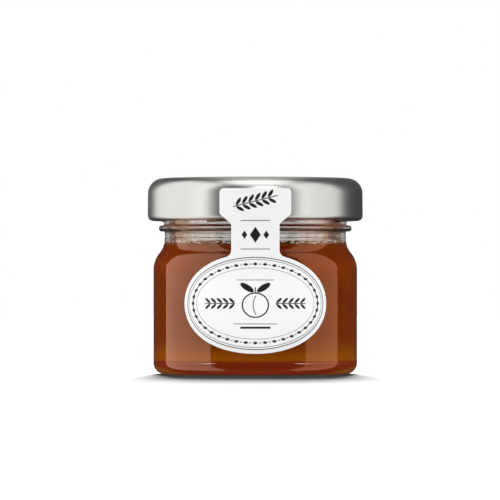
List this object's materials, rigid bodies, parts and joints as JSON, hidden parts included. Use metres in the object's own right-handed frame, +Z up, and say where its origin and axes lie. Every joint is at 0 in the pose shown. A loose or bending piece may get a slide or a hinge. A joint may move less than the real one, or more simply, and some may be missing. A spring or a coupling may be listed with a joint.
{
  "type": "jar of apricot jam",
  "caption": "Small straight-sided glass jar filled with apricot jam, shut with a satin metal twist-off lid and sealed by a die-cut paper label from side to lid.",
  "frame": {"origin": "centre of the jar's foot, on the surface that it stands on", "axes": "+Z up along the jar's axis, -Y out of the middle of the label, +X to the right seen from the label's side"},
  "size_m": [0.046, 0.0462, 0.0419],
  "materials": {
    "clear_glass": "clear pressed glass, polished",
    "jam": "wet translucent amber jam",
    "lid_metal": "satin silver tinplate",
    "label_paper": "coated white paper with black print"
  },
  "bodies": {
    "root": {"glass_jar": "clear_glass", "apricot_jam": "jam", "twist_lid": "lid_metal", "paper_label": "label_paper"}
  },
  "joints": []
}
